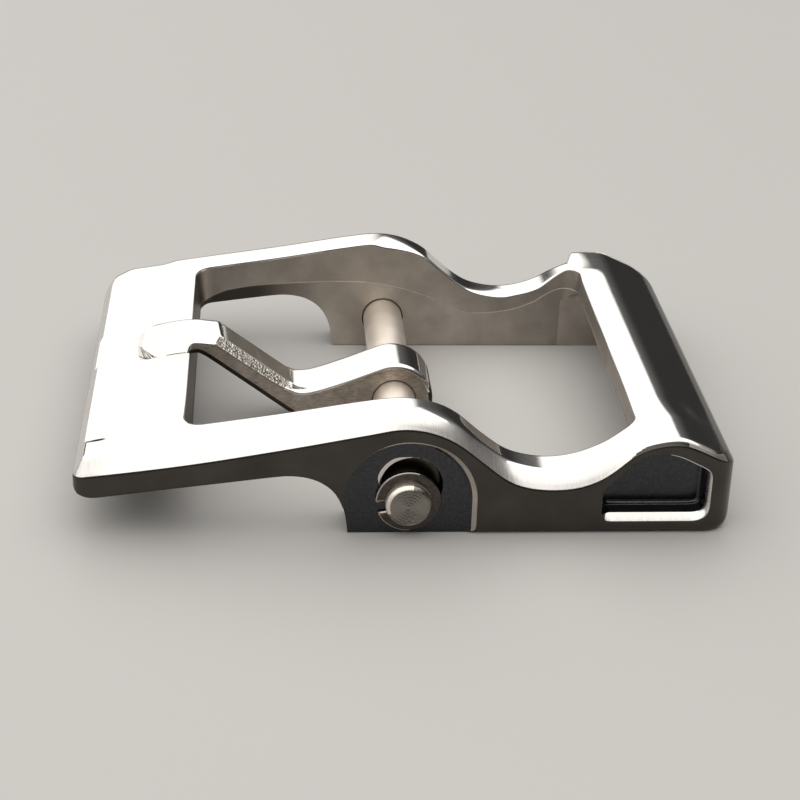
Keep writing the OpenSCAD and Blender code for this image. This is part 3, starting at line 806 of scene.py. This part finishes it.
# The prong: one cranked bar of steel with an eye that swings on the axle. Its flat tip lies in the
# groove of the front bar and slants off along its near side. The upper faces are polished, the sides
# brushed, and the crank has a roof with a ridge whose near half is still rough from the hammer.
EYE_R, PRONG_W = 4.15, 6.1
NEAR_Y, FAR_Y = PRONG_Y - PRONG_W / 2, PRONG_Y + PRONG_W / 2
RIDGE_Y, RIDGE_LAND = -0.3, 0.11
TIP_X, TIP_LIFT, BLUNT_X, TIP_END_X = -27.1, 0.05, -24.0, -21.9
EYE_TOP_X, EYE_FOOT_X, EYE_FLAT = -1.54, 2.516, 0.35


def open_curve(corners):
    """Open line through corners (x, height, cut), each rounded by the quadratic curve that leaves its
    two sides at the distance cut."""
    points = np.array([c[:2] for c in corners], float)
    pieces = [points[:1]]
    for k in range(1, len(points) - 1):
        back, on = points[k - 1] - points[k], points[k + 1] - points[k]
        cut = corners[k][2]
        pieces.append(np.array(bend(points[k] + back / np.linalg.norm(back) * cut, points[k],
                                    points[k] + on / np.linalg.norm(on) * cut, 9)))
    return np.concatenate(pieces + [points[-1:]])


tip_line = open_curve([(TIP_X, 9.22, 0), (-26.3, 9.55, 0.3), (-24.5, 10.05, 0.9), (-22.3, 10.45, 0.9),
                       (-20.8, 10.50, 0.7), (-17.0, 10.10, 0)])
arm_line = open_curve([(-12.5, 5.20, 0), (-10.6, 4.66, 0.5), (-9.4, 4.66, 0.5), (-8.0, 5.04, 0.9),
                       (-5.0, 6.12, 0.6), (EYE_TOP_X, 7.503, 0)])
lower_line = open_curve([
    (TIP_X, groove_floor(TIP_X) + TIP_LIFT, 0), (-20.75, groove_floor(-20.75) + TIP_LIFT, 0.3),
    (-20.0, 8.74, 0.3), (-19.0, 8.02, 0.4), (-10.9, 1.95, 0.9), (-9.5, 1.40, 0.6), (-5.0, 0.85, 0.9),
    (-1.4, 0.45, 0.5), (0.0, EYE_FLAT, 0.4), (EYE_FOOT_X, EYE_FLAT, 0)])


def roof(x, y):
    """Height of the crank's roof: a straight ridge that falls away by 0.42 to the near and 0.28 to the
    far edge, first by a narrow steep land on the near side."""
    near = 0.32 * (RIDGE_Y - y) / (RIDGE_Y - NEAR_Y) + 0.10 * np.clip((RIDGE_Y - y) / RIDGE_LAND, 0, 1)
    far = 0.28 * (y - RIDGE_Y) / (FAR_Y - RIDGE_Y)
    return 9.22 - 0.739 * (x + 16.92) - np.where(y < RIDGE_Y, near, far)


def top_of_prong(x, y):
    """Height of the upper side. Past a crest the tip gives way to the roof, and at the notch the roof
    runs into the arm, in a curve that widens towards the near edge. Each is the lower or higher of two
    heights a and b, taken as their mean less or more half of sqrt((a - b)^2 + w^2), where w is how soft
    the change is."""
    arm, tip, slant = np.interp(x, *arm_line.T), np.interp(x, *tip_line.T), roof(x, y)
    soft = 0.03 + 0.55 * ease(RIDGE_Y - y, 0.2, 2.0)
    low = 0.5 * (slant + arm + np.sqrt((slant - arm) ** 2 + soft ** 2))
    high = 0.5 * (tip + low - np.sqrt((tip - low) ** 2 + 0.03 ** 2))
    circle = AXLE_Z + np.sqrt(np.maximum(EYE_R ** 2 - x ** 2, 0))
    settle = ease(x, -9.0, -5.0)
    return np.where(x > EYE_TOP_X, circle, high * (1 - settle) + arm * settle)


bow = EYE_R * np.cos(np.radians(np.linspace(math.degrees(math.acos(EYE_TOP_X / EYE_R)), 2.2, 46)))
# Columns: first x, last x, number of points
stretches = [(TIP_X, -25.0, 20), (-25.0, -20.9, 22), (-20.9, -19.3, 12), (-19.3, -17.9, 28),
             (-17.9, -11.8, 62), (-11.8, -10.0, 30), (-10.0, EYE_TOP_X, 32)]
along = np.concatenate([np.linspace(a, b, n, endpoint=False) for a, b, n in stretches] + [bow])
under = np.where(along > EYE_FOOT_X, AXLE_Z - np.sqrt(np.maximum(EYE_R ** 2 - along ** 2, 0)),
                 np.interp(along, *lower_line.T))
count = len(along)
ridge_top = top_of_prong(along, np.full(count, RIDGE_Y))
loop = np.concatenate([np.column_stack([along, ridge_top]), np.column_stack([along, under])[::-1]])
on_top = np.arange(2 * count) < count
push = outward(loop)
thick = np.concatenate([ridge_top - under, (ridge_top - under)[::-1]])

# How far each long edge is taken off, across the bar and square to its outline, and how flat or round
on_tip = ease(-loop[:, 0], 21.2, 22.2)
on_crank = ease(loop[:, 0], -22.2, -21.2) * ease(-loop[:, 0], 10.4, 11.2)
at_eye = (1 - on_tip) * (1 - on_crank)
near_wide = np.where(on_top, 1.05, 0.06) * on_tip + 0.30 * on_crank + 0.45 * at_eye
near_deep = (np.where(on_top, 1.40, 0.06) * on_tip + np.where(on_top, 0.30, 0.55) * on_crank
             + 0.45 * at_eye)
near_flat = np.where(on_top, 0.8 * on_tip, np.maximum(on_tip, on_crank))
share = np.where(on_top, 0.47 + 0.43 * on_tip, 0.47 - 0.42 * on_tip)
most = np.where(loop[:, 0] > -9, 9.0, share * thick)
far_wide = np.where(on_top, 0.30 + 0.35 * at_eye, 0.35)
dice = np.random.default_rng(5)
on_roof = on_top & (roof(loop[:, 0], RIDGE_Y) > np.interp(loop[:, 0], *arm_line.T)) & (
    roof(loop[:, 0], RIDGE_Y) < np.interp(loop[:, 0], *tip_line.T))
lift = push[:, 1] * (1 - on_tip) + np.where(on_top, 1, -1) * on_tip


def prong_row(y, taken):
    """Outline of the prong at the distance y across it, drawn in by what is taken off there. The end of
    the tip is blunt in plan, rounded at both corners, and its underside follows the groove's floor."""
    taken = np.minimum(taken, most)
    from_middle = np.abs(y - PRONG_Y)
    blunt = 0.8 * ease(from_middle, 1.2, 2.6) + 1.0 * ease(from_middle, 2.2, 3.05)
    x = loop[:, 0] + blunt * np.clip((BLUNT_X - loop[:, 0]) / (BLUNT_X - TIP_X), 0, 1)
    below = loop[:, 1] + groove_floor(x) - groove_floor(loop[:, 0])
    z = np.where(on_top, top_of_prong(x, y), below) - lift * taken
    dent = 0.10 * ease(RIDGE_Y - y, 0.04, 0.25) * ease(y - NEAR_Y, 0.0, 0.5) * on_roof
    return np.column_stack([x - push[:, 0] * taken * (1 - on_tip), y, z - dent * dice.random(len(z))])


def along_edge(edge_y, sign, wide, deep, flat):
    """Rows that take off one long edge, from the side face inwards: a quarter round, a flat bevel or a
    mixture."""
    rows = []
    for d in (0.0, 0.12, 0.3, 0.55, 0.8, 1.0):
        share = flat * (1 - d) + (1 - flat) * (1 - math.sqrt(1 - (1 - d) ** 2))
        rows.append(prong_row(edge_y + sign * d * wide, deep * share))
    return rows


near_edge = along_edge(NEAR_Y, 1, near_wide, near_deep, near_flat)
far_edge = along_edge(FAR_Y, -1, far_wide, far_wide, 0 * far_wide)[::-1]
near_in, far_in = NEAR_Y + near_wide, FAR_Y - far_wide
land_y = RIDGE_Y - RIDGE_LAND
skin = near_edge + [prong_row(near_in + t * (land_y - near_in), 0.0)
                    for t in np.linspace(0, 1, 17)[1:]]
skin.append(prong_row(np.full(len(loop), RIDGE_Y), 0.0))
ridge_row = len(skin) - 1
skin += [prong_row(RIDGE_Y + t * (far_in - RIDGE_Y), 0.0) for t in np.linspace(0, 1, 12)[1:-1]]
skin += far_edge
m, n = len(skin), len(loop)
quads = quads_between(m, n)
points, faces = [np.concatenate(skin)], [quads]
POLISHED, BRUSHED, HAMMERED, FORGED = range(4)
at_x, at_y = points[0][quads].mean(1).T[:2]
upper, row_no = np.tile(on_top, m - 1), np.repeat(np.arange(m - 1), n)
slant = roof(at_x, at_y)
cranked = upper & (slant > np.interp(at_x, *arm_line.T) - 0.02) & (slant < np.interp(at_x, *tip_line.T))
finish = [np.select(
    [cranked & (row_no < 2), cranked & (row_no < ridge_row - 1), upper & (at_x <= 3.7), at_x > TIP_END_X],
    [BRUSHED, HAMMERED, POLISHED, FORGED], POLISHED)]

# The two flat sides: each a sheet of quads between the upper and the lower half of its outline
SHEET = 6
step = np.arange(count)
for row_start, row in ((0, skin[0]), ((m - 1) * n, skin[-1])):
    share = np.linspace(0, 1, SHEET + 1)[1:-1, None, None]
    between = (row[:count] * (1 - share) + row[::-1][:count] * share).reshape(-1, 3)
    first = sum(len(p) for p in points)
    ids = np.vstack([row_start + step, first + np.arange(len(between)).reshape(SHEET - 1, count),
                     row_start + n - 1 - step])
    points.append(between)
    quads = np.stack([ids[:-1, :-1], ids[1:, :-1], ids[1:, 1:], ids[:-1, 1:]], -1).reshape(-1, 4)
    faces.append(quads)
    finish.append(np.where(np.concatenate(points)[quads][:, :, 0].mean(1) > TIP_END_X, BRUSHED, POLISHED))
points = np.concatenate(points)

# Brushed side: the same steel, warm grey, with lines along the bar and a few darker smears.
brushed_steel, tree, place = start_material("brushed_prong_side")
stretch = add(tree, "Mapping", {"Vector": place}, Rotation=(0, 0.5, 0), Scale=(0.15, 1.0, 1.0))
brush = add(tree, "TexNoise", {"Vector": stretch},
            Scale=1 / (0.13 * MM), Detail=4.0, Roughness=0.6)
cloud = add(tree, "TexNoise", {"Vector": place}, Scale=1 / (2.2 * MM), Detail=5.0, Roughness=0.7)
mixed = add(tree, "Math", {0: brush, 1: cloud}, operation="MULTIPLY")
tint = add(tree, "ValToRGB", {"Fac": mixed}, stops=[(0.12, "#857d74"), (0.34, "#bab0a5")])
lines = add(tree, "Bump", {"Height": brush}, Strength=0.5, Distance=0.008 * MM)
steel = add(tree, "BsdfPrincipled", {"Base Color": tint, "Normal": lines},
            Metallic=1.0, Roughness=0.36)
add(tree, "OutputMaterial", {0: steel})

# Hammered steel: small bright facets with dark pits between them, 0.3 mm across.
hammered_steel, tree, place = start_material("hammered_steel")
dents = add(tree, "TexVoronoi", {"Vector": place}, Scale=1 / (0.30 * MM))
grit = add(tree, "TexNoise", {"Vector": place}, Scale=1 / (0.18 * MM), Detail=3.0)
height = add(tree, "Math", {0: dents.outputs["Distance"], 1: grit}, operation="ADD")
rough = add(tree, "Bump", {"Height": height}, Strength=0.9, Distance=0.09 * MM)
steel = add(tree, "BsdfPrincipled", {"Normal": rough},
            Base_Color=colour("#d2cdc5"), Metallic=1.0, Roughness=0.12)
add(tree, "OutputMaterial", {0: steel})

# Forged underside: dark from the forge and only wiped, with a fine pebble.
forged_steel, tree, place = start_material("forged_underside")
pebble = add(tree, "TexNoise", {"Vector": place}, Scale=1 / (0.35 * MM), Detail=4.0)
tint = add(tree, "ValToRGB", {"Fac": pebble}, stops=[(0.3, "#35302c"), (0.7, "#47413b")])
rough = add(tree, "Bump", {"Height": pebble}, Strength=0.4, Distance=0.02 * MM)
steel = add(tree, "BsdfPrincipled", {"Base Color": tint, "Normal": rough},
            Metallic=1.0, Roughness=0.5)
add(tree, "OutputMaterial", {0: steel})

prong_arm = new_piece("prong_arm_bar", points, [f for part in faces for f in part.tolist()],
                      [mirror_steel, brushed_steel, hammered_steel, forged_steel], np.concatenate(finish))
turn_outwards(prong_arm)
EYE_GAP = 0.06
eye_rows = [disc_row(AXLE_R + EYE_GAP + out_by, y, 0, AXLE_Z) for y, out_by in [
    (NEAR_Y - 1, 0.10), (NEAR_Y, 0.10), (NEAR_Y + 0.10, 0),
    (FAR_Y - 0.10, 0), (FAR_Y, 0.10), (FAR_Y + 1, 0.10)]]
eye_cut = plug("eye_cut", eye_rows, brushed_steel)
cut_away(prong_arm, [eye_cut])
finish_shading(prong_arm, 28)
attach(prong_arm, "prong_arm")
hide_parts("prong")

# The floor: a plain pale sheet, satin, with a very fine grain, much larger than the picture.
floor_finish, tree, place = start_material("pale_laminate")
speck = add(tree, "TexNoise", {"Vector": place}, Scale=1 / (0.6 * MM), Detail=2.0)
grain = add(tree, "Bump", {"Height": speck}, Strength=0.15, Distance=0.02 * MM)
sheet = add(tree, "BsdfPrincipled", {"Normal": grain},
            Base_Color=colour("#b4b2af"), Roughness=0.5)
add(tree, "OutputMaterial", {0: sheet})
FLOOR = 1500
corners = [(-FLOOR, -FLOOR, 0), (FLOOR, -FLOOR, 0), (FLOOR, FLOOR, 0), (-FLOOR, FLOOR, 0)]
floor = new_piece("floor", corners, [(0, 1, 2, 3)], [floor_finish])

# The light: a white dome overhead that ends softly above a dark horizon. It comes down lowest over the
# front bar and the far side, so that polished steel shows white planes, grey slopes and dark turns.
world = bpy.data.worlds.new("soft_studio")
bpy.context.scene.world = world
world.use_nodes = True
tree = world.node_tree
tree.nodes.clear()
toward = add(tree, "TexCoord").outputs["Generated"]
height = add(tree, "SeparateXYZ", {0: toward}).outputs["Z"]
level = add(tree, "VectorMath", {0: toward}, operation="DOT_PRODUCT")
level.inputs[1].default_value = (-0.35, 0.10, 1.0)
window = add(tree, "MapRange", {"Value": level.outputs["Value"]}, interpolation_type="SMOOTHSTEP",
             From_Min=0.41, From_Max=0.46, To_Min=0.0, To_Max=1.25)
fill = add(tree, "MapRange", {"Value": height}, interpolation_type="SMOOTHSTEP",
           From_Min=0.18, From_Max=0.75, To_Min=0.035, To_Max=0.38)
total = add(tree, "Math", {0: window, 1: fill}, operation="ADD")
glow = add(tree, "Background", {"Strength": total}, Color=colour("#fffdfa"))
add(tree, "OutputWorld", {0: glow})

# The camera: low in front of the near side, with a long lens that takes in the buckle and a wide margin
# of floor.
LENS, SENSOR = 85.5, 36.0
EYE = (-0.014102, -0.183920, 0.093326)
yaw, pitch, roll = math.radians(4.641), math.radians(26.200), math.radians(-2.0157)
ahead = np.array([math.sin(yaw) * math.cos(pitch), math.cos(yaw) * math.cos(pitch), -math.sin(pitch)])
level_right = np.array([math.cos(yaw), -math.sin(yaw), 0.0])
level_down = np.cross(ahead, level_right)
right = math.cos(roll) * level_right + math.sin(roll) * level_down
down = -math.sin(roll) * level_right + math.cos(roll) * level_down
lens = bpy.data.cameras.new("camera")
lens.lens, lens.sensor_width, lens.clip_start, lens.clip_end = LENS, SENSOR, 0.005, 20.0
camera = bpy.data.objects.new("camera", lens)
bpy.context.scene.collection.objects.link(camera)
turned_to = np.column_stack([right, -down, -ahead, EYE])
camera.matrix_world = Matrix(np.vstack([turned_to, [0, 0, 0, 1]]).tolist())
bpy.context.scene.camera = camera
bpy.context.scene.view_settings.view_transform = "Standard"
